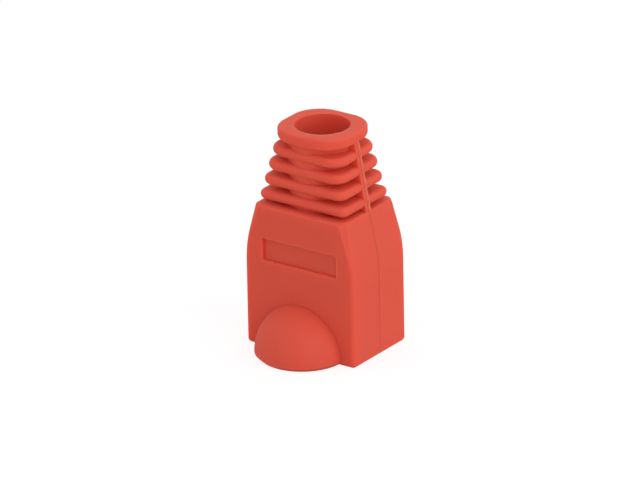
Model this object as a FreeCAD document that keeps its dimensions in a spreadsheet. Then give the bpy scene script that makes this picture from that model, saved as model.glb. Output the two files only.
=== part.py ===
import FreeCAD, Part
import math
import os
import Sketcher

# Strain relief boot for an 8-way modular plug: one piece, moulded in soft PVC.
# The frame has its origin in the middle of the plug mouth.
# +Z runs up along the cable, X is the width and the latch dome is on the -Y side.

doc = FreeCAD.newDocument("rj45_strain_relief_boot")

# ---------------------------------------------------------------- sizes
SIZES = [
    ("housing_width", 14.4, "width over the housing's side faces"),
    ("housing_depth", 9.9, "depth over the housing's front and back faces"),
    ("housing_height", 16.7, "mouth to shoulder"),
    ("housing_edge", 0.45, "radius of the housing's upright edges"),
    ("taper_start", 9.8, "height where the sides begin to lean in"),
    ("taper_lean", 12.7, "lean of the sides at the shoulder, in degrees"),
    ("taper_blend", 14.0, "radius that turns the sides from upright to leaning"),
    ("facet_start", 12.7, "height where the corner facets begin"),
    ("facet_leg", 0.72, "how much of each shoulder corner its facet takes off"),
    ("shoulder_edge", 0.4, "rounding of the shoulder's rim"),
    ("dome_radius", 5.38, "ball radius of the latch dome"),
    ("dome_rise", 0.54, "height of the ball's centre above the mouth"),
    ("dome_sink", 0.58, "how far the ball's centre lies behind the front face"),
    ("dome_wall", 0.95, "wall of the latch dome"),
    ("latch_room_upright", 1.6, "height of the upright wall inside the dome"),
    ("latch_room_height", 4.3, "height of the room inside the dome"),
    ("latch_room_roof", 2.4, "radius of the flat roof inside the dome"),
    ("label_width", 9.75, "width of the label recess"),
    ("label_height", 2.55, "height of the label recess"),
    ("label_level", 11.5, "middle of the label recess above the mouth"),
    ("label_depth", 0.45, "depth of the label recess"),
    ("label_corner", 0.25, "corner radius of the label recess"),
    ("label_lip", 0.15, "bevel of the label recess's rim"),
    ("core_diameter", 7.65, "outside of the neck's tube"),
    ("bore_diameter", 6.2, "cable bore"),
    ("neck_height", 25.58, "mouth to the top of the collar"),
    ("collar_width", 9.1, "collar across X"),
    ("collar_depth", 8.7, "collar across Y"),
    ("collar_corner", 3.35, "corner radius of the collar"),
    ("collar_thickness", 1.35, "collar along Z"),
    ("collar_rim", 0.3, "rounding of the collar's upper edge"),
    ("collar_foot", 0.5, "rounding of the collar's lower edge"),
    ("first_groove", 0.73, "gap between the collar and the uppermost ring"),
    ("last_groove", 0.356, "gap between the lowest ring and the shoulder"),
    ("ring_share", 0.66, "thickness of a ring as a share of the rings' spacing"),
    ("ring_rounding", 0.49, "rounding of a ring's edges as a share of its thickness"),
    ("top_ring_width", 9.5, "uppermost ring across X"),
    ("top_ring_depth", 7.95, "uppermost ring across Y"),
    ("top_ring_corner", 1.95, "corner radius of the uppermost ring"),
    ("ring_widening", 0.65, "gain in width from one ring to the next"),
    ("ring_deepening", 0.2, "gain in depth from one ring to the next"),
    ("ring_sharpening", 0.4, "loss in corner radius from one ring to the next"),
    ("spine_thickness", 0.85, "side spines along Y"),
    ("spine_rise", 0.03, "step from a ring's edge out to the spine"),
    ("side_wall", 1.26, "wall between the plug socket and each side"),
    ("front_wall", 1.0, "wall between the plug socket and the front or back"),
    ("socket_height", 10.0, "how far the plug goes in"),
    ("socket_corner", 0.5, "corner radius of the plug socket"),
    ("mouth_lead_in", 0.25, "chamfer round the inside of the mouth"),
    ("mouth_edge", 0.5, "rounding round the outside of the mouth"),
    ("funnel_height", 5.2, "length over which the socket narrows to the bore"),
    ("funnel_step", 0.2, "ledge between the funnel's sides and the bore"),
]
RING_COUNT = 4

# Volume in mm3 and distance in mm below which two shapes or two places count as the same.
LEAST_CUT = 0.01
TOUCH = 0.0001

sizes = doc.addObject("Spreadsheet::Sheet", "Sizes")
for row, (alias, value, meaning) in enumerate(SIZES, start=1):
    sizes.set("A%d" % row, alias)
    sizes.set("B%d" % row, str(value))
    sizes.set("C%d" % row, meaning)
    sizes.setAlias("B%d" % row, alias)
doc.recompute()

boot = doc.addObject("PartDesign::Body", "Boot")
boot.Label = "boot"
ORIGIN_PLANES = {feature.Role: feature for feature in boot.Origin.OriginFeatures}


# -------------------------------------------------------------- helpers
def new_sketch(name, plane, level):
    """A sketch on an origin plane of the boot, moved along the plane's normal by `level`."""
    sketch = boot.newObject("Sketcher::SketchObject", name)
    sketch.AttachmentSupport = [(ORIGIN_PLANES[plane], "")]
    sketch.MapMode = "FlatFace"
    sketch.setExpression(".AttachmentOffset.Base.z", level)
    return sketch


def draw_rounded_rectangle(sketch, width, height, radius):
    """A rectangle centred on the sketch's origin, with four equal corner arcs."""
    half_w, half_h, corner = 4.0, 3.0, 1.0
    flat_w = half_w - corner
    flat_h = half_h - corner
    point = FreeCAD.Vector
    edges = [
        Part.LineSegment(point(-flat_w, -half_h, 0), point(flat_w, -half_h, 0)),
        Part.LineSegment(point(half_w, -flat_h, 0), point(half_w, flat_h, 0)),
        Part.LineSegment(point(flat_w, half_h, 0), point(-flat_w, half_h, 0)),
        Part.LineSegment(point(-half_w, flat_h, 0), point(-half_w, -flat_h, 0)),
    ]
    centres = [(flat_w, -flat_h), (flat_w, flat_h), (-flat_w, flat_h), (-flat_w, -flat_h)]
    quarter = math.pi / 2
    arcs = []
    for index, (x, y) in enumerate(centres):
        circle = Part.Circle(point(x, y, 0), point(0, 0, 1), corner)
        arcs.append(Part.ArcOfCircle(circle, (index - 1) * quarter, index * quarter))
    for edge in edges + arcs:
        sketch.addGeometry(edge, False)
    for index in range(4):
        following = (index + 1) % 4
        sketch.addConstraint(Sketcher.Constraint("Tangent", index, 2, 4 + index, 1))
        sketch.addConstraint(Sketcher.Constraint("Tangent", 4 + index, 2, following, 1))
    for index in (5, 6, 7):
        sketch.addConstraint(Sketcher.Constraint("Equal", 4, index))
    sketch.addConstraint(Sketcher.Constraint("Horizontal", 2))
    sketch.addConstraint(Sketcher.Constraint("Vertical", 3))
    sketch.addConstraint(Sketcher.Constraint("Symmetric", 0, 1, 0, 2, -2))
    sketch.addConstraint(Sketcher.Constraint("Symmetric", 1, 1, 1, 2, -1))
    bind(sketch, Sketcher.Constraint("Radius", 4, corner), "corner", radius)
    bind(sketch, Sketcher.Constraint("DistanceX", 3, 1, 1, 1, 2 * half_w), "width", width)
    bind(sketch, Sketcher.Constraint("DistanceY", 0, 1, 2, 1, 2 * half_h), "height", height)


def draw_circle(sketch, diameter):
    """A circle centred on the sketch's origin."""
    sketch.addGeometry(Part.Circle(FreeCAD.Vector(0, 0, 0), FreeCAD.Vector(0, 0, 1), 3.0), False)
    sketch.addConstraint(Sketcher.Constraint("Coincident", 0, 3, -1, 1))
    bind(sketch, Sketcher.Constraint("Diameter", 0, 6.0), "diameter", diameter)


def bind(sketch, constraint, name, expression):
    """Adds a named dimension to a sketch and ties it to the sheet."""
    index = sketch.addConstraint(constraint)
    sketch.renameConstraint(index, name)
    sketch.setExpression("Constraints." + name, expression)


def draw_chain(sketch, corners):
    """Straight lines from corner to corner and back to the first."""
    count = len(corners)
    for index in range(count):
        start = FreeCAD.Vector(*corners[index], 0)
        end = FreeCAD.Vector(*corners[(index + 1) % count], 0)
        sketch.addGeometry(Part.LineSegment(start, end), False)
    for index in range(count):
        sketch.addConstraint(Sketcher.Constraint("Coincident", index, 2, (index + 1) % count, 1))


def draw_housing_profile(sketch):
    """The housing from the front, counter-clockwise from the mouth. Each side has an arc and a lean."""
    point = FreeCAD.Vector
    up = point(0, 0, 1)
    half_w, start, top, blend = 7.0, 10.0, 17.0, 14.0
    lean = math.radians(14)
    arc_rise = blend * math.sin(lean)
    arc_x = half_w - blend * (1 - math.cos(lean))
    top_x = arc_x - (top - start - arc_rise) * math.tan(lean)
    right_centre = point(half_w - blend, start, 0)
    left_centre = point(blend - half_w, start, 0)
    outline = [
        Part.LineSegment(point(-half_w, 0, 0), point(half_w, 0, 0)),
        Part.LineSegment(point(half_w, 0, 0), point(half_w, start, 0)),
        Part.ArcOfCircle(Part.Circle(right_centre, up, blend), 0.0, lean),
        Part.LineSegment(point(arc_x, start + arc_rise, 0), point(top_x, top, 0)),
        Part.LineSegment(point(top_x, top, 0), point(-top_x, top, 0)),
        Part.LineSegment(point(-top_x, top, 0), point(-arc_x, start + arc_rise, 0)),
        Part.ArcOfCircle(Part.Circle(left_centre, up, blend), math.pi - lean, math.pi),
        Part.LineSegment(point(-half_w, start, 0), point(-half_w, 0, 0)),
    ]
    for piece in outline:
        sketch.addGeometry(piece, False)
    for first, second in ((0, 1), (3, 4), (4, 5), (7, 0)):
        sketch.addConstraint(Sketcher.Constraint("Coincident", first, 2, second, 1))
    for first, second in ((1, 2), (2, 3), (5, 6), (6, 7)):
        sketch.addConstraint(Sketcher.Constraint("Tangent", first, 2, second, 1))
    sketch.addConstraint(Sketcher.Constraint("Vertical", 1))
    sketch.addConstraint(Sketcher.Constraint("PointOnObject", 0, 1, -1))
    sketch.addConstraint(Sketcher.Constraint("Symmetric", 0, 1, 0, 2, -2))
    sketch.addConstraint(Sketcher.Constraint("Symmetric", 4, 1, 4, 2, -2))
    sketch.addConstraint(Sketcher.Constraint("Symmetric", 1, 2, 7, 1, -2))
    sketch.addConstraint(Sketcher.Constraint("Equal", 2, 6))
    bind(sketch, Sketcher.Constraint("DistanceX", 0, 1, 0, 2, 2 * half_w), "width", "Sizes.housing_width")
    bind(sketch, Sketcher.Constraint("DistanceY", 1, 1, 1, 2, start), "start", "Sizes.taper_start")
    bind(sketch, Sketcher.Constraint("DistanceY", 1, 1, 3, 2, top), "height", "Sizes.housing_height")
    bind(sketch, Sketcher.Constraint("Radius", 2, blend), "blend", "Sizes.taper_blend")
    bind(sketch, Sketcher.Constraint("Angle", 5, 1, 4, 2, math.pi / 2 + lean), "lean",
         "90 deg + Sizes.taper_lean * 1 deg")


def draw_facet_profile(sketch):
    """The wedge that a corner facet takes off, in the upright plane through the corner's diagonal."""
    draw_chain(sketch, [(8.0, 12.0), (9.0, 12.0), (9.0, 17.0), (7.0, 17.0)])
    sketch.addConstraint(Sketcher.Constraint("Horizontal", 0))
    sketch.addConstraint(Sketcher.Constraint("Vertical", 1))
    sketch.addConstraint(Sketcher.Constraint("Horizontal", 2))
    rise = "(Sizes.facet_start - Sizes.taper_start)"
    foot_inset = "(Sizes.taper_blend - sqrt(Sizes.taper_blend ^ 2 - " + rise + " ^ 2))"
    lean = "Sizes.taper_lean * 1 deg"
    blend_inset = "Sizes.taper_blend * (1 - cos(" + lean + "))"
    lean_rise = "(Sizes.housing_height - Sizes.taper_start - Sizes.taper_blend * sin(" + lean + "))"
    top_inset = "(" + blend_inset + " + " + lean_rise + " * tan(" + lean + "))"
    half_sum = "(Sizes.housing_width + Sizes.housing_depth) / 2"
    rounding = "Sizes.housing_edge * (2 - sqrt(2))"
    bind(sketch, Sketcher.Constraint("DistanceY", -1, 1, 0, 1, 12.0), "foot_level", "Sizes.facet_start")
    bind(sketch, Sketcher.Constraint("DistanceY", -1, 1, 2, 1, 17.0), "top_level",
         "Sizes.housing_height")
    bind(sketch, Sketcher.Constraint("DistanceX", -1, 1, 0, 1, 8.0), "foot_reach",
         "(" + half_sum + " - " + foot_inset + " - " + rounding + ") / sqrt(2)")
    bind(sketch, Sketcher.Constraint("DistanceX", -1, 1, 2, 2, 7.0), "top_reach",
         "(" + half_sum + " - " + top_inset + " - Sizes.facet_leg) / sqrt(2)")
    bind(sketch, Sketcher.Constraint("DistanceX", -1, 1, 1, 1, 9.0), "clear_reach",
         "(Sizes.housing_width + Sizes.housing_depth) / sqrt(2) / 2 + 1")


def draw_dome_profile(sketch):
    """Half the outline of a ball on a short foot with a bevelled edge, from the axis outwards."""
    point = FreeCAD.Vector
    ball, bevel, rise = 5.0, 0.3, 1.0
    outline = [
        Part.LineSegment(point(0, 0, 0), point(ball - bevel, 0, 0)),
        Part.LineSegment(point(ball - bevel, 0, 0), point(ball, bevel, 0)),
        Part.LineSegment(point(ball, bevel, 0), point(ball, rise, 0)),
        Part.ArcOfCircle(Part.Circle(point(0, rise, 0), point(0, 0, 1), ball), 0.0, math.pi / 2),
        Part.LineSegment(point(0, rise + ball, 0), point(0, 0, 0)),
    ]
    for piece in outline:
        sketch.addGeometry(piece, False)
    for first, second in ((0, 1), (1, 2), (3, 4), (4, 0)):
        sketch.addConstraint(Sketcher.Constraint("Coincident", first, 2, second, 1))
    sketch.addConstraint(Sketcher.Constraint("Coincident", 0, 1, -1, 1))
    sketch.addConstraint(Sketcher.Constraint("Horizontal", 0))
    sketch.addConstraint(Sketcher.Constraint("Vertical", 2))
    sketch.addConstraint(Sketcher.Constraint("Tangent", 2, 2, 3, 1))
    sketch.addConstraint(Sketcher.Constraint("Vertical", 4))
    sketch.addConstraint(Sketcher.Constraint("PointOnObject", 3, 3, -2))
    bind(sketch, Sketcher.Constraint("Radius", 3, ball), "radius", "Sizes.dome_radius")
    bind(sketch, Sketcher.Constraint("DistanceY", -1, 1, 3, 3, rise), "rise", "Sizes.dome_rise")
    bind(sketch, Sketcher.Constraint("DistanceX", 1, 1, 1, 2, bevel), "bevel_in", "Sizes.mouth_edge")
    bind(sketch, Sketcher.Constraint("DistanceY", 1, 1, 1, 2, bevel), "bevel_up", "Sizes.mouth_edge")


def add_feature(kind, name, profile=None):
    """A PartDesign feature of the boot, on its profile sketch if it has one."""
    feature = boot.newObject("PartDesign::" + kind, name)
    if profile is not None:
        feature.Profile = profile
        profile.Visibility = False
    return feature


def pad(name, sketch, length, centred=False):
    """Material of the given length along the sketch's normal, or half to each side of it."""
    feature = add_feature("Pad", name, sketch)
    feature.setExpression("Length", length)
    feature.Midplane = centred
    doc.recompute()
    return feature


def must_have_cut(name, volume_before):
    """Stops the build if a cut has taken less than a hundredth of a cubic millimetre away."""
    if boot.Shape.Volume > volume_before - LEAST_CUT:
        raise RuntimeError(name + " cuts nothing")


def pocket(name, sketch, length, reverse, centred=False, taper=None):
    """A cut of the given length, straight or tapered, checked to have taken material away."""
    before = boot.Shape.Volume
    feature = add_feature("Pocket", name, sketch)
    feature.setExpression("Length", length)
    feature.Reversed = reverse
    feature.Midplane = centred
    if taper:
        feature.setExpression("TaperAngle", taper)
    doc.recompute()
    must_have_cut(name, before)
    return feature


def revolve_cut(name, sketch):
    """A full turn of the sketch about its upright axis, cut away and checked to have taken material."""
    before = boot.Shape.Volume
    feature = add_feature("Groove", name, sketch)
    feature.ReferenceAxis = (sketch, ["V_Axis"])
    feature.Angle = 360
    doc.recompute()
    must_have_cut(name, before)
    return feature


def dress(kind, name, edges, size_property, size):
    """A fillet or chamfer over the edges of the boot's present shape."""
    base = boot.Tip
    feature = add_feature(kind, name)
    feature.Base = (base, edges)
    feature.setExpression(size_property, size)
    doc.recompute()
    return feature


def edges_where(test):
    """Names of the edges of the boot's present shape that pass a test on their bounding box."""
    return ["Edge%d" % (i + 1) for i, edge in enumerate(boot.Shape.Edges) if test(edge.BoundBox)]


def flat_at(level, reach_x=1000.0, reach_y=1000.0):
    """A test for edges that lie at one height and within a reach of the middle."""
    def test(box):
        at_level = abs(box.ZMin - level) < TOUCH and abs(box.ZMax - level) < TOUCH
        within_x = max(abs(box.XMin), abs(box.XMax)) < reach_x
        within_y = max(abs(box.YMin), abs(box.YMax)) < reach_y
        return at_level and within_x and within_y
    return test


# -------------------------------------------------------------- housing
# Seen from the front, the sides stand upright and then lean in along an arc to the shoulder.
profile_sketch = new_sketch("HousingProfile", "XZ_Plane", "0 mm")
draw_housing_profile(profile_sketch)
housing = pad("Housing", profile_sketch, "Sizes.housing_depth", centred=True)
upright_edges = edges_where(lambda box: box.ZMax - box.ZMin > 1.0 and box.YMax - box.YMin < TOUCH)
dress("Fillet", "UprightRounding", upright_edges, "Radius", "Sizes.housing_edge")

# A flat facet widens up each corner, from nothing to its full leg at the shoulder.
for quadrant in range(4):
    facet_sketch = new_sketch("Facet%dProfile" % (quadrant + 1), "XZ_Plane", "0 mm")
    turn = FreeCAD.Rotation(FreeCAD.Vector(0, 1, 0), 45 + 90 * quadrant)
    facet_sketch.AttachmentOffset = FreeCAD.Placement(FreeCAD.Vector(0, 0, 0), turn)
    draw_facet_profile(facet_sketch)
    facet = "Facet%d" % (quadrant + 1)
    pocket(facet, facet_sketch, "Sizes.housing_depth / 2", reverse=False, centred=True)

shoulder_rim = edges_where(flat_at(sizes.housing_height))
dress("Fillet", "ShoulderRounding", shoulder_rim, "Radius", "Sizes.shoulder_edge")
dress("Fillet", "MouthRounding", edges_where(flat_at(0.0)), "Radius", "Sizes.mouth_edge")

# A ball on a short upright foot bulges from the front and covers the plug's latch.
dome_sketch = new_sketch("DomeProfile", "XZ_Plane", "Sizes.housing_depth / 2 - Sizes.dome_sink")
draw_dome_profile(dome_sketch)
dome = add_feature("Revolution", "LatchDome", dome_sketch)
dome.ReferenceAxis = (dome_sketch, ["V_Axis"])
dome.Angle = 360
doc.recompute()

# ----------------------------------------------------------------- neck
# The rings and the collar stand apart until the tube joins them.
boot.AllowCompound = True


def add_plate(name, middle, thickness, width, depth, corner):
    """A plate round the neck, and the levels of its underside and its top."""
    sketch = new_sketch(name + "Outline", "XY_Plane", middle)
    draw_rounded_rectangle(sketch, width, depth, corner)
    plate = pad(name, sketch, thickness, centred=True)
    level = sketch.AttachmentOffset.Base.z
    half = plate.Length.Value / 2
    return level - half, level + half


def turn_over(name, radius, rims):
    """Three bevels that turn rims over like a rounding. A rim is its level and the way it faces."""
    edges = [edge for level, way in rims for edge in edges_where(flat_at(level))]
    bevel = dress("Chamfer", name + "Bevel", edges, "Size", radius + " * (2 - sqrt(2))")
    size = bevel.Size.Value
    levels = [level - way * step for level, way in rims for step in (0.0, size)]
    edges = [edge for level in levels for edge in edges_where(flat_at(level))]
    dress("Chamfer", name + "BevelEdges", edges, "Size", radius + " * (sqrt(2) - 1 - tan(11.25 deg))")


# The rings share out the height between the collar and the shoulder.
# They grow wider and squarer towards the housing, and their edges are nearly half round.
ring_room = (
    "(Sizes.neck_height - Sizes.collar_thickness - Sizes.first_groove"
    " - Sizes.housing_height - Sizes.last_groove)"
)
ring_pitch = ring_room + " / (%d + Sizes.ring_share)" % (RING_COUNT - 1)
ring_thickness = "Sizes.ring_share * " + ring_pitch
top_ring_level = (
    "Sizes.neck_height - Sizes.collar_thickness - Sizes.first_groove - " + ring_thickness + " / 2"
)
for count in range(RING_COUNT):
    ring = "Ring%d" % (count + 1)
    underside, top = add_plate(
        ring,
        top_ring_level + " - %d * " % count + ring_pitch,
        ring_thickness,
        "Sizes.top_ring_width + Sizes.ring_widening * %d" % count,
        "Sizes.top_ring_depth + Sizes.ring_deepening * %d" % count,
        "Sizes.top_ring_corner - Sizes.ring_sharpening * %d" % count,
    )
    turn_over(ring, "Sizes.ring_rounding * " + ring_thickness, [(underside, -1), (top, 1)])

underside, top = add_plate(
    "Collar",
    "Sizes.neck_height - Sizes.collar_thickness / 2",
    "Sizes.collar_thickness",
    "Sizes.collar_width",
    "Sizes.collar_depth",
    "Sizes.collar_corner",
)
turn_over("CollarRim", "Sizes.collar_rim", [(top, 1)])
turn_over("CollarFoot", "Sizes.collar_foot", [(underside, -1)])

# A round tube carries the rings and the collar.
tube_sketch = new_sketch("TubeOutline", "XY_Plane", "Sizes.housing_height - Sizes.shoulder_edge")
draw_circle(tube_sketch, "Sizes.core_diameter")
pad("Tube", tube_sketch,
    "Sizes.neck_height - Sizes.housing_height + Sizes.shoulder_edge - Sizes.collar_thickness / 2")

# The spine on each side is one web through the tube, along the mould's parting plane.
spine_sketch = new_sketch("SpineOutline", "XZ_Plane", "0 mm")
draw_chain(spine_sketch, [(-3.0, 10.0), (3.0, 10.0), (2.0, 20.0), (-2.0, 20.0)])
spine_sketch.addConstraint(Sketcher.Constraint("Symmetric", 0, 1, 0, 2, -2))
spine_sketch.addConstraint(Sketcher.Constraint("Symmetric", 2, 1, 2, 2, -2))
spine_foot = "Sizes.housing_height - Sizes.shoulder_edge"
spine_head = "Sizes.neck_height - Sizes.collar_thickness / 2"
flush_width = "Sizes.top_ring_width + 2 * Sizes.spine_rise"
flare = "Sizes.ring_widening / (" + ring_pitch + ")"
bind(spine_sketch, Sketcher.Constraint("DistanceX", 0, 1, 0, 2, 6.0), "foot_width",
     flush_width + " + " + flare + " * (" + top_ring_level + " - (" + spine_foot + "))")
bind(spine_sketch, Sketcher.Constraint("DistanceX", 2, 2, 2, 1, 4.0), "head_width",
     flush_width + " + " + flare + " * (" + top_ring_level + " - (" + spine_head + "))")
bind(spine_sketch, Sketcher.Constraint("DistanceY", -1, 1, 0, 1, 10.0), "foot_level", spine_foot)
bind(spine_sketch, Sketcher.Constraint("DistanceY", -1, 1, 2, 1, 20.0), "head_level", spine_head)
pad("Spines", spine_sketch, "Sizes.spine_thickness", centred=True)

# --------------------------------------------------------------- hollow
# The plug goes in from below and stops where the funnel begins.
socket_sketch = new_sketch("SocketOutline", "XY_Plane", "0 mm")
draw_rounded_rectangle(
    socket_sketch,
    "Sizes.housing_width - 2 * Sizes.side_wall",
    "Sizes.housing_depth - 2 * Sizes.front_wall",
    "Sizes.socket_corner",
)
pocket("Socket", socket_sketch, "Sizes.socket_height", reverse=True)
within_x = (sizes.housing_width - sizes.side_wall) / 2
within_y = (sizes.housing_depth - sizes.front_wall) / 2
socket_rim = edges_where(flat_at(0.0, reach_x=within_x, reach_y=within_y))
dress("Chamfer", "MouthLeadIn", socket_rim, "Size", "Sizes.mouth_lead_in")

# A square funnel narrows from the socket's depth to the bore. The plug stops against its rim.
funnel_sketch = new_sketch("FunnelOutline", "XY_Plane", "Sizes.socket_height")
draw_chain(funnel_sketch, [(-4.0, -4.0), (4.0, -4.0), (4.0, 4.0), (-4.0, 4.0)])
for index in (0, 2):
    funnel_sketch.addConstraint(Sketcher.Constraint("Horizontal", index))
    funnel_sketch.addConstraint(Sketcher.Constraint("Vertical", index + 1))
funnel_sketch.addConstraint(Sketcher.Constraint("Equal", 0, 1))
funnel_sketch.addConstraint(Sketcher.Constraint("Symmetric", 0, 1, 1, 2, -1, 1))
bind(funnel_sketch, Sketcher.Constraint("DistanceX", 0, 1, 0, 2, 8.0), "width",
     "Sizes.housing_depth - 2 * Sizes.front_wall")
funnel_inset = (
    "(Sizes.housing_depth / 2 - Sizes.front_wall - Sizes.bore_diameter / 2 - Sizes.funnel_step)"
)
pocket("Funnel", funnel_sketch, "Sizes.funnel_height", reverse=True,
       taper="-atan(" + funnel_inset + " / Sizes.funnel_height)")

# The bore grips the cable's jacket and runs out through the collar.
bore_sketch = new_sketch("BoreOutline", "XY_Plane", "Sizes.socket_height + Sizes.funnel_height")
draw_circle(bore_sketch, "Sizes.bore_diameter")
pocket("Bore", bore_sketch, "Sizes.neck_height - Sizes.socket_height - Sizes.funnel_height", reverse=True)

# Inside the dome there is room for the latch to spring: upright walls under a sloping roof.
latch_sketch = new_sketch("LatchRoomProfile", "XZ_Plane", "Sizes.housing_depth / 2 - Sizes.dome_sink")
draw_chain(latch_sketch, [(0.0, 0.0), (4.0, 0.0), (4.0, 2.0), (2.0, 4.0), (0.0, 4.0)])
latch_sketch.addConstraint(Sketcher.Constraint("Coincident", 0, 1, -1, 1))
latch_sketch.addConstraint(Sketcher.Constraint("Horizontal", 0))
latch_sketch.addConstraint(Sketcher.Constraint("Vertical", 1))
latch_sketch.addConstraint(Sketcher.Constraint("Horizontal", 3))
latch_sketch.addConstraint(Sketcher.Constraint("Vertical", 4))
bind(latch_sketch, Sketcher.Constraint("DistanceX", 0, 1, 0, 2, 4.0), "radius",
     "Sizes.dome_radius - Sizes.dome_wall")
bind(latch_sketch, Sketcher.Constraint("DistanceY", 1, 1, 1, 2, 2.0), "upright", "Sizes.latch_room_upright")
bind(latch_sketch, Sketcher.Constraint("DistanceY", -1, 1, 3, 1, 4.0), "height", "Sizes.latch_room_height")
bind(latch_sketch, Sketcher.Constraint("DistanceX", 3, 2, 3, 1, 2.0), "roof_radius", "Sizes.latch_room_roof")
revolve_cut("LatchRoom", latch_sketch)

# --------------------------------------------------------- front recess
label_sketch = new_sketch("LabelOutline", "XZ_Plane", "Sizes.housing_depth / 2")
label_sketch.setExpression(".AttachmentOffset.Base.y", "Sizes.label_level")
draw_rounded_rectangle(label_sketch, "Sizes.label_width", "Sizes.label_height", "Sizes.label_corner")
pocket("LabelRecess", label_sketch, "Sizes.label_depth", reverse=False)
rim_front = -(sizes.housing_depth - sizes.label_depth) / 2
label_rim = edges_where(
    lambda box: box.YMax < rim_front
    and abs(box.Center.z - sizes.label_level) < sizes.label_height / 2 + TOUCH
    and abs(box.Center.x) < sizes.label_width / 2 + TOUCH
    and box.YMax - box.YMin < sizes.label_depth / 2
)
dress("Chamfer", "LabelRim", label_rim, "Size", "Sizes.label_lip")

# --------------------------------------------------------------- output
for feature in doc.Objects:
    if "Invalid" in feature.State or "Error" in feature.State:
        raise RuntimeError(feature.Name + " did not build")
if boot.Shape.isNull() or not boot.Shape.isValid() or len(boot.Shape.Solids) != 1:
    raise RuntimeError("the boot is not one valid solid")
os.makedirs("parts", exist_ok=True)
boot.Shape.exportStep("parts/" + boot.Label + ".step")
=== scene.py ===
import math

import bmesh
import bpy
import numpy as np
from mathutils import Matrix, Vector


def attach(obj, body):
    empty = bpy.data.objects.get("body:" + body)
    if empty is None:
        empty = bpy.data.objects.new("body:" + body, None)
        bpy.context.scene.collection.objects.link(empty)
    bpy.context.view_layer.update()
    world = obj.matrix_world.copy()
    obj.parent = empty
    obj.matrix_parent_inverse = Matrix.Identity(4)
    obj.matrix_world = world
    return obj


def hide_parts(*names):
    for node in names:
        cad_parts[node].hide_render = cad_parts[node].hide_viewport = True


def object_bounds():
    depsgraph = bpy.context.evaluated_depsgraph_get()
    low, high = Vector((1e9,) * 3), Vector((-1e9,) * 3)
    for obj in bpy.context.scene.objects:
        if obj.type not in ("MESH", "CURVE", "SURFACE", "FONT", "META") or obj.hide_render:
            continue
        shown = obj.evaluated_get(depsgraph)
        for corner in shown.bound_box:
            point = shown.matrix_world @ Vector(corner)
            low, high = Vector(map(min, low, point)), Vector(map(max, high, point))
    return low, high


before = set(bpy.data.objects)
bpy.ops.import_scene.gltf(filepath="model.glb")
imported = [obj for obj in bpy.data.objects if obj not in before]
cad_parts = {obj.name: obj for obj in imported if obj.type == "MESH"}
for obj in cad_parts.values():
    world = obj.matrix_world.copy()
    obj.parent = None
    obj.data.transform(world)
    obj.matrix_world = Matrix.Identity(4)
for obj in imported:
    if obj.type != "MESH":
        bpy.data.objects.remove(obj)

CAD_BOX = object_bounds()
MM = 0.001

# ---------------------------------------------------------------- the boot
# The boot is one piece of soft PVC, injection moulded in a two-part steel mould
# with a core pin. Its walls keep the mould's fine matt finish and its rounded edges.
WELD_DISTANCE = 0.0005 * MM
SHARP_COSINE = math.cos(math.radians(38))  # faces that turn by more meet in a sharp edge
FLAT_COSINE = math.cos(math.radians(0.2))  # faces that turn by less belong to one flat patch


def flat_patch_areas(shell):
    """For each face, the area of the whole flat patch that it belongs to."""
    patch_of = {}
    areas = []
    for seed in shell.faces:
        if seed in patch_of:
            continue
        waiting = [seed]
        patch_of[seed] = len(areas)
        areas.append(0.0)
        while waiting:
            face = waiting.pop()
            areas[-1] += face.calc_area()
            for other in {near for edge in face.edges for near in edge.link_faces}:
                if other not in patch_of and other.normal.dot(seed.normal) > FLAT_COSINE:
                    patch_of[other] = patch_of[seed]
                    waiting.append(other)
    return {face: areas[patch] for face, patch in patch_of.items()}


def joined_copy(name, source):
    """A copy of a frame mesh with its loose triangles joined and its soft edges shaded smooth.
    Large flat faces keep their own normal right up to their edges."""
    mesh = source.data.copy()
    mesh.name = name
    shell = bmesh.new()
    shell.from_mesh(mesh)
    bmesh.ops.remove_doubles(shell, verts=shell.verts, dist=WELD_DISTANCE)
    shell.normal_update()
    area = flat_patch_areas(shell)
    normals = []
    for face in shell.faces:
        for corner in face.loops:
            soft = [other for other in corner.vert.link_faces
                    if other.normal.dot(face.normal) > SHARP_COSINE]
            normals.append(sum((other.normal * area[other] for other in soft), Vector()).normalized())
    shell.to_mesh(mesh)
    shell.free()
    mesh.polygons.foreach_set("use_smooth", np.ones(len(mesh.polygons), dtype=bool))
    mesh.normals_split_custom_set(normals)
    mesh.materials.clear()
    piece = bpy.data.objects.new(name, mesh)
    bpy.context.collection.objects.link(piece)
    return piece


boot = joined_copy("boot_skin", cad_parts["boot"])
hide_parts("boot")
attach(boot, "root")


def linear(hex_colour):
    """Linear RGBA for an sRGB hex colour."""
    channels = [int(hex_colour[i:i + 2], 16) / 255 for i in (1, 3, 5)]
    return [c / 12.92 if c <= 0.04045 else ((c + 0.055) / 1.055) ** 2.4 for c in channels] + [1.0]


def emptied_tree(owner):
    """The node tree of a material or a world, with nothing in it."""
    owner.use_nodes = True
    owner.node_tree.nodes.clear()
    return owner.node_tree


def add_node(tree, kind, links=None, **settings):
    """Adds a node. `links` maps its inputs' names or numbers to output sockets or plain values."""
    node = tree.nodes.new(kind)
    for key, value in settings.items():
        setattr(node, key, value)
    for key, value in (links or {}).items():
        if isinstance(value, bpy.types.NodeSocket):
            tree.links.new(value, node.inputs[key])
        else:
            node.inputs[key].default_value = value
    return node


def maths(tree, operation, *values):
    """The outcome of one operation on sockets or plain numbers."""
    node = add_node(tree, "ShaderNodeMath", dict(enumerate(values)), operation=operation)
    return node.outputs["Value"]


def map_range(tree, value, given, wanted, **settings):
    """A value moved from the range `given` to the range `wanted`, and held inside it."""
    return add_node(tree, "ShaderNodeMapRange", {
        "Value": value, "From Min": given[0], "From Max": given[1],
        "To Min": wanted[0], "To Max": wanted[1]}, **settings).outputs["Result"]


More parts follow.
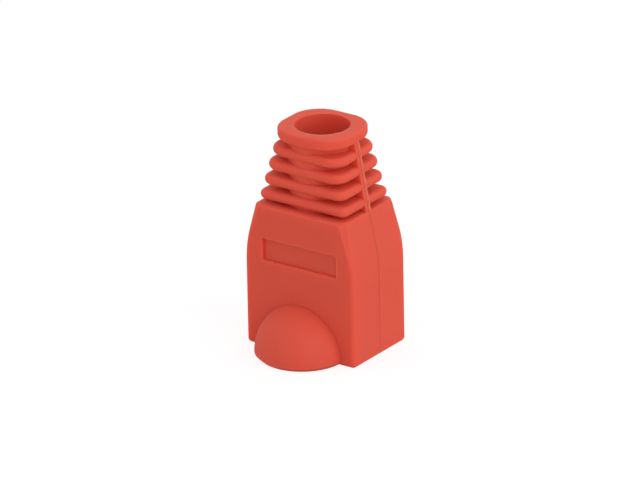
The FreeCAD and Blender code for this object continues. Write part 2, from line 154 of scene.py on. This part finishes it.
PVC_RED = "#DA4426"
# painted shade: a darker red laid along the parting line's hair-fine groove
PAINTED_GROOVE_SHADE_RED = "#BC371B"
LIMIT_HEIGHTS = (10 * MM, 16.5 * MM)  # the top of the plug socket, and just under the shoulder
LIMIT_REACH = (6.4 * MM, 4.0 * MM)    # how far out to the side the limit stands at each of them
PARTING_LINE_TOP = 24.3 * MM          # at the foot of the collar
GROOVE_EDGE = (0.03 * MM, 0.1 * MM)   # distances from the parting plane over which the groove rises
FLASH_EDGE = (0.12 * MM, 0.3 * MM)    # and over which the flash falls back to the skin
FLASH_HEIGHT = 0.5                    # as a share of the groove's depth
GRAIN_SIZE = 0.12 * MM
SWELL_SIZE = 5 * MM
GRAIN_DEPTH = 0.02 * MM
PARTING_LINE_DEPTH = 0.06 * MM
SWELL_DEPTH = 0.15 * MM
ROUGHNESS = (0.7, 0.82)


def soft_pvc(name):
    """Plasticised PVC, moulded. It is coloured through, and a little light spreads a millimetre or two
    inside it, which lifts the bore and the grooves. The steel's fine spark-eroded finish leaves it
    between satin and matt, so light from all round puts a broad pale sheen over the red. Down both
    sides runs the mould's parting line: a hair-fine groove between two low ridges of flash. The shade
    inside that groove is painted in as a darker red."""
    material = bpy.data.materials.new(name)
    tree = emptied_tree(material)
    place = add_node(tree, "ShaderNodeTexCoord").outputs["Object"]
    along = add_node(tree, "ShaderNodeSeparateXYZ", {"Vector": place}).outputs

    # The parting plane is Y = 0. Only the outer skin below the collar shows the line: it lies outside
    # a limit that stands between the plug socket and the sides, and closes in over the funnel.
    from_plane = maths(tree, "ABSOLUTE", along["Y"])
    out_sideways = maths(tree, "ABSOLUTE", along["X"])
    limit = map_range(tree, along["Z"], LIMIT_HEIGHTS, LIMIT_REACH)
    outside = maths(tree, "GREATER_THAN", out_sideways, limit)
    below = maths(tree, "LESS_THAN", along["Z"], PARTING_LINE_TOP)
    outer = maths(tree, "MULTIPLY", outside, below)
    # The groove's mask also paints its shade: the colour turns darker red where the groove dips.
    groove = map_range(tree, from_plane, GROOVE_EDGE, (1.0, 0.0), interpolation_type="SMOOTHSTEP")
    flash = map_range(tree, from_plane, FLASH_EDGE, (FLASH_HEIGHT, 0.0),
                      interpolation_type="SMOOTHSTEP")
    line_height = maths(tree, "MULTIPLY", maths(tree, "SUBTRACT", flash, groove), outer)
    painted_groove_shade = maths(tree, "MULTIPLY", groove, outer)

    # The fine grain of the mould's finish, and slow swells of the skin where the PVC has shrunk.
    grain = add_node(tree, "ShaderNodeTexNoise", {
        "Vector": place, "Scale": 1 / GRAIN_SIZE, "Detail": 3.0}).outputs["Fac"]
    swell = add_node(tree, "ShaderNodeTexNoise", {
        "Vector": place, "Scale": 1 / SWELL_SIZE, "Detail": 1.0}).outputs["Fac"]
    swollen = add_node(tree, "ShaderNodeBump", {
        "Height": swell, "Strength": 0.25, "Distance": SWELL_DEPTH})
    seamed = add_node(tree, "ShaderNodeBump", {
        "Height": line_height, "Strength": 0.5, "Distance": PARTING_LINE_DEPTH,
        "Normal": swollen.outputs["Normal"]})
    skin = add_node(tree, "ShaderNodeBump", {
        "Height": grain, "Strength": 0.12, "Distance": GRAIN_DEPTH,
        "Normal": seamed.outputs["Normal"]})
    # Painted shade: the base colour is mixed towards a darker red inside the parting line's groove.
    # A colour mix takes its factor at input 0 and its colours at 6 and 7, and gives output 2.
    colour = add_node(tree, "ShaderNodeMix", {
        0: painted_groove_shade, 6: linear(PVC_RED), 7: linear(PAINTED_GROOVE_SHADE_RED)}, data_type="RGBA")
    shader = add_node(tree, "ShaderNodeBsdfPrincipled", {
        "Base Color": colour.outputs[2],
        "Roughness": map_range(tree, grain, (0.0, 1.0), ROUGHNESS),
        "IOR": 1.53, "Specular IOR Level": 0.8,
        "Subsurface Weight": 0.75, "Subsurface Radius": (1.0, 0.8, 0.7), "Subsurface Scale": 2.0 * MM,
        "Normal": skin.outputs["Normal"]})
    add_node(tree, "ShaderNodeOutputMaterial", {"Surface": shader.outputs["BSDF"]})
    return material


boot.data.materials.append(soft_pvc("satin_soft_pvc"))

# ------------------------------------------------------------- the surroundings
# A white table in a white studio, both plain white to the camera and in reflections.
# The table keeps a faint soft shadow of the boot. One wide, low softbox lights its right side.
WHITE = "#FFFFFF"
TABLE_WHITE = "#F4F4F4"
TABLE_WIDTH = 4.0
TABLE_GLOW_SHARE = 0.78  # the part of the table's look that is plain white, the rest being paint
TABLE_GLOW = 1.08        # a little over white, to make up for the paint's part
FILL = 0.79              # what the studio's white walls give the boot
BACKDROP = 1.0

low, high = (Vector(corner) for corner in CAD_BOX)
middle = (low + high) / 2


def seen_directly(tree):
    """1 for the rays that show the background: from the camera, a reflection or through something."""
    paths = add_node(tree, "ShaderNodeLightPath").outputs
    through = maths(tree, "MAXIMUM", paths["Is Glossy Ray"], paths["Is Transmission Ray"])
    return maths(tree, "MAXIMUM", paths["Is Camera Ray"], through)


bpy.ops.mesh.primitive_plane_add(size=TABLE_WIDTH, location=(0, 0, low.z))
table = bpy.context.object
table.name = "table_top"
table_paint = bpy.data.materials.new("white_table")
tree = emptied_tree(table_paint)
whitening = maths(tree, "MULTIPLY", seen_directly(tree), TABLE_GLOW_SHARE)
paint = add_node(tree, "ShaderNodeBsdfDiffuse", {"Color": linear(TABLE_WHITE)})
glow = add_node(tree, "ShaderNodeEmission", {"Color": linear(WHITE), "Strength": TABLE_GLOW})
mix = add_node(tree, "ShaderNodeMixShader", {
    0: whitening, 1: paint.outputs["BSDF"], 2: glow.outputs["Emission"]})
add_node(tree, "ShaderNodeOutputMaterial", {"Surface": mix.outputs["Shader"]})
table.data.materials.append(table_paint)

world = bpy.data.worlds.new("white_studio")
bpy.context.scene.world = world
tree = emptied_tree(world)
fill = add_node(tree, "ShaderNodeBackground", {"Color": linear(WHITE), "Strength": FILL})
backdrop = add_node(tree, "ShaderNodeBackground", {"Color": linear(WHITE), "Strength": BACKDROP})
mix = add_node(tree, "ShaderNodeMixShader", {
    0: seen_directly(tree), 1: fill.outputs["Background"], 2: backdrop.outputs["Background"]})
add_node(tree, "ShaderNodeOutputWorld", {"Surface": mix.outputs["Shader"]})


def direction(azimuth, elevation):
    """The unit vector out from the boot at an azimuth from its front and an elevation, in radians."""
    return Vector((math.sin(azimuth) * math.cos(elevation), -math.cos(azimuth) * math.cos(elevation),
                   math.sin(elevation)))


def softbox(name, azimuth, elevation, distance, width, height, power):
    """An oblong area lamp that faces the boot's middle from an azimuth and elevation in degrees."""
    away = direction(math.radians(azimuth), math.radians(elevation))
    lamp = bpy.data.lights.new(name, "AREA")
    lamp.shape = "RECTANGLE"
    lamp.size = width
    lamp.size_y = height
    lamp.energy = power
    holder = bpy.data.objects.new(name, lamp)
    holder.location = middle + away * distance
    holder.rotation_euler = away.to_track_quat("Z", "Y").to_euler()
    bpy.context.collection.objects.link(holder)


softbox("key_softbox", azimuth=80, elevation=26, distance=0.8, width=0.9, height=0.5, power=2.05)

# ------------------------------------------------------------------ the camera
# A long lens on a stand a little above the boot, turned to its right and rolled by a degree.
# It looks past the boot's middle by less than a millimetre.
AZIMUTH = math.radians(35.5)
ELEVATION = math.radians(22.55)
ROLL = math.radians(1.07)
DISTANCE = 0.9
LENS = 465.0
ASIDE = 0.89 * MM
FARTHEST_SEEN = 10.0

away = direction(AZIMUTH, ELEVATION)
side = Vector((math.cos(AZIMUTH), math.sin(AZIMUTH), 0.0))
camera_data = bpy.data.cameras.new("camera")
camera_data.lens = LENS
camera_data.clip_end = FARTHEST_SEEN
camera = bpy.data.objects.new("camera", camera_data)
camera.location = middle + side * ASIDE + away * DISTANCE
upright = away.to_track_quat("Z", "Y").to_matrix()
camera.rotation_euler = (upright @ Matrix.Rotation(-ROLL, 3, "Z")).to_euler()
bpy.context.collection.objects.link(camera)
bpy.context.scene.camera = camera
bpy.context.scene.view_settings.view_transform = "Standard"
